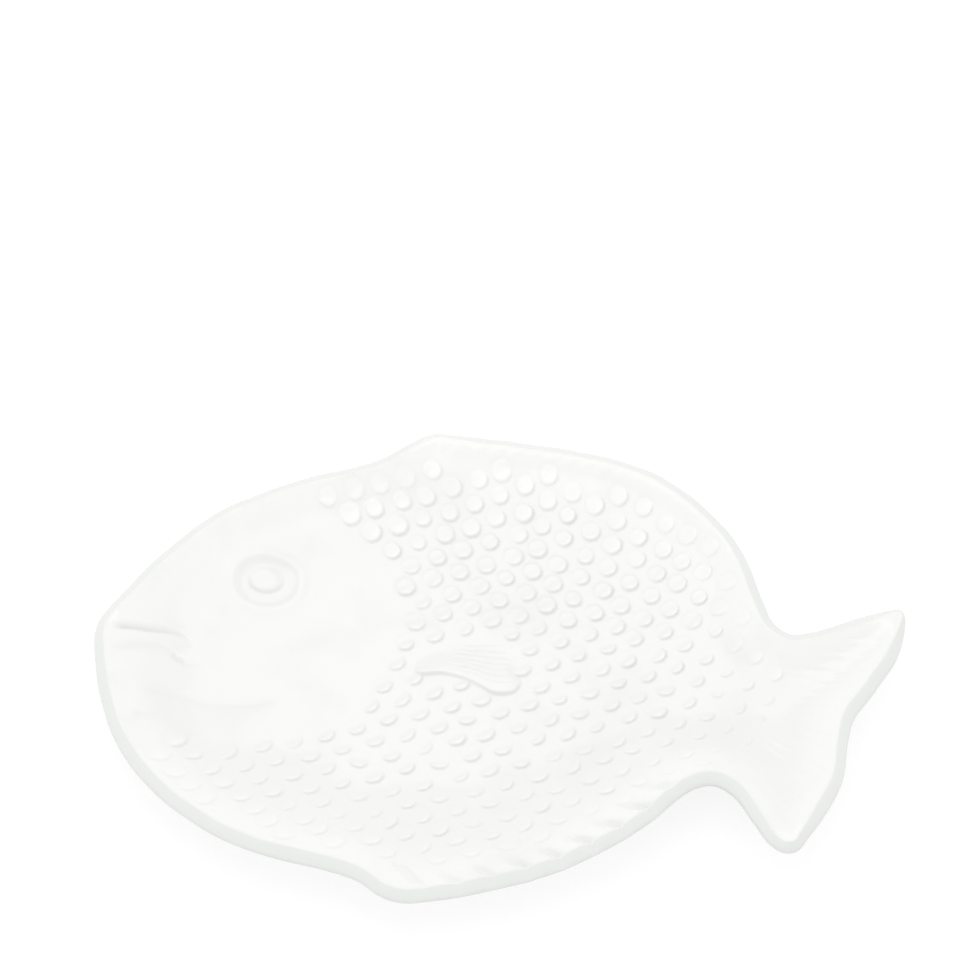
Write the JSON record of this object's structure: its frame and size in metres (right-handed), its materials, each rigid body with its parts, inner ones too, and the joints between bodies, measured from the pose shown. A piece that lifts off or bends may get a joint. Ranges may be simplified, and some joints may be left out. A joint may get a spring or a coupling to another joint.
{
  "type": "fish-shaped serving plate",
  "caption": "Shallow fish-shaped serving plate of white glazed ceramic, with moulded scales, eye, mouth and fin rays, a thick crested lip and an oval foot ring.",
  "frame": {"origin": "on the table under the middle of the plate's outline, in the plane of the foot ring's bearing face", "axes": "+Z out of the dish, +X from the lips towards the tail, +Y towards the back fin"},
  "size_m": [0.3, 0.2012, 0.024],
  "materials": {
    "white_glaze": "glossy transparent glaze over white stoneware, bare on the foot ring's bearing face"
  },
  "bodies": {
    "root": {"plate_body": "white_glaze"}
  },
  "joints": []
}
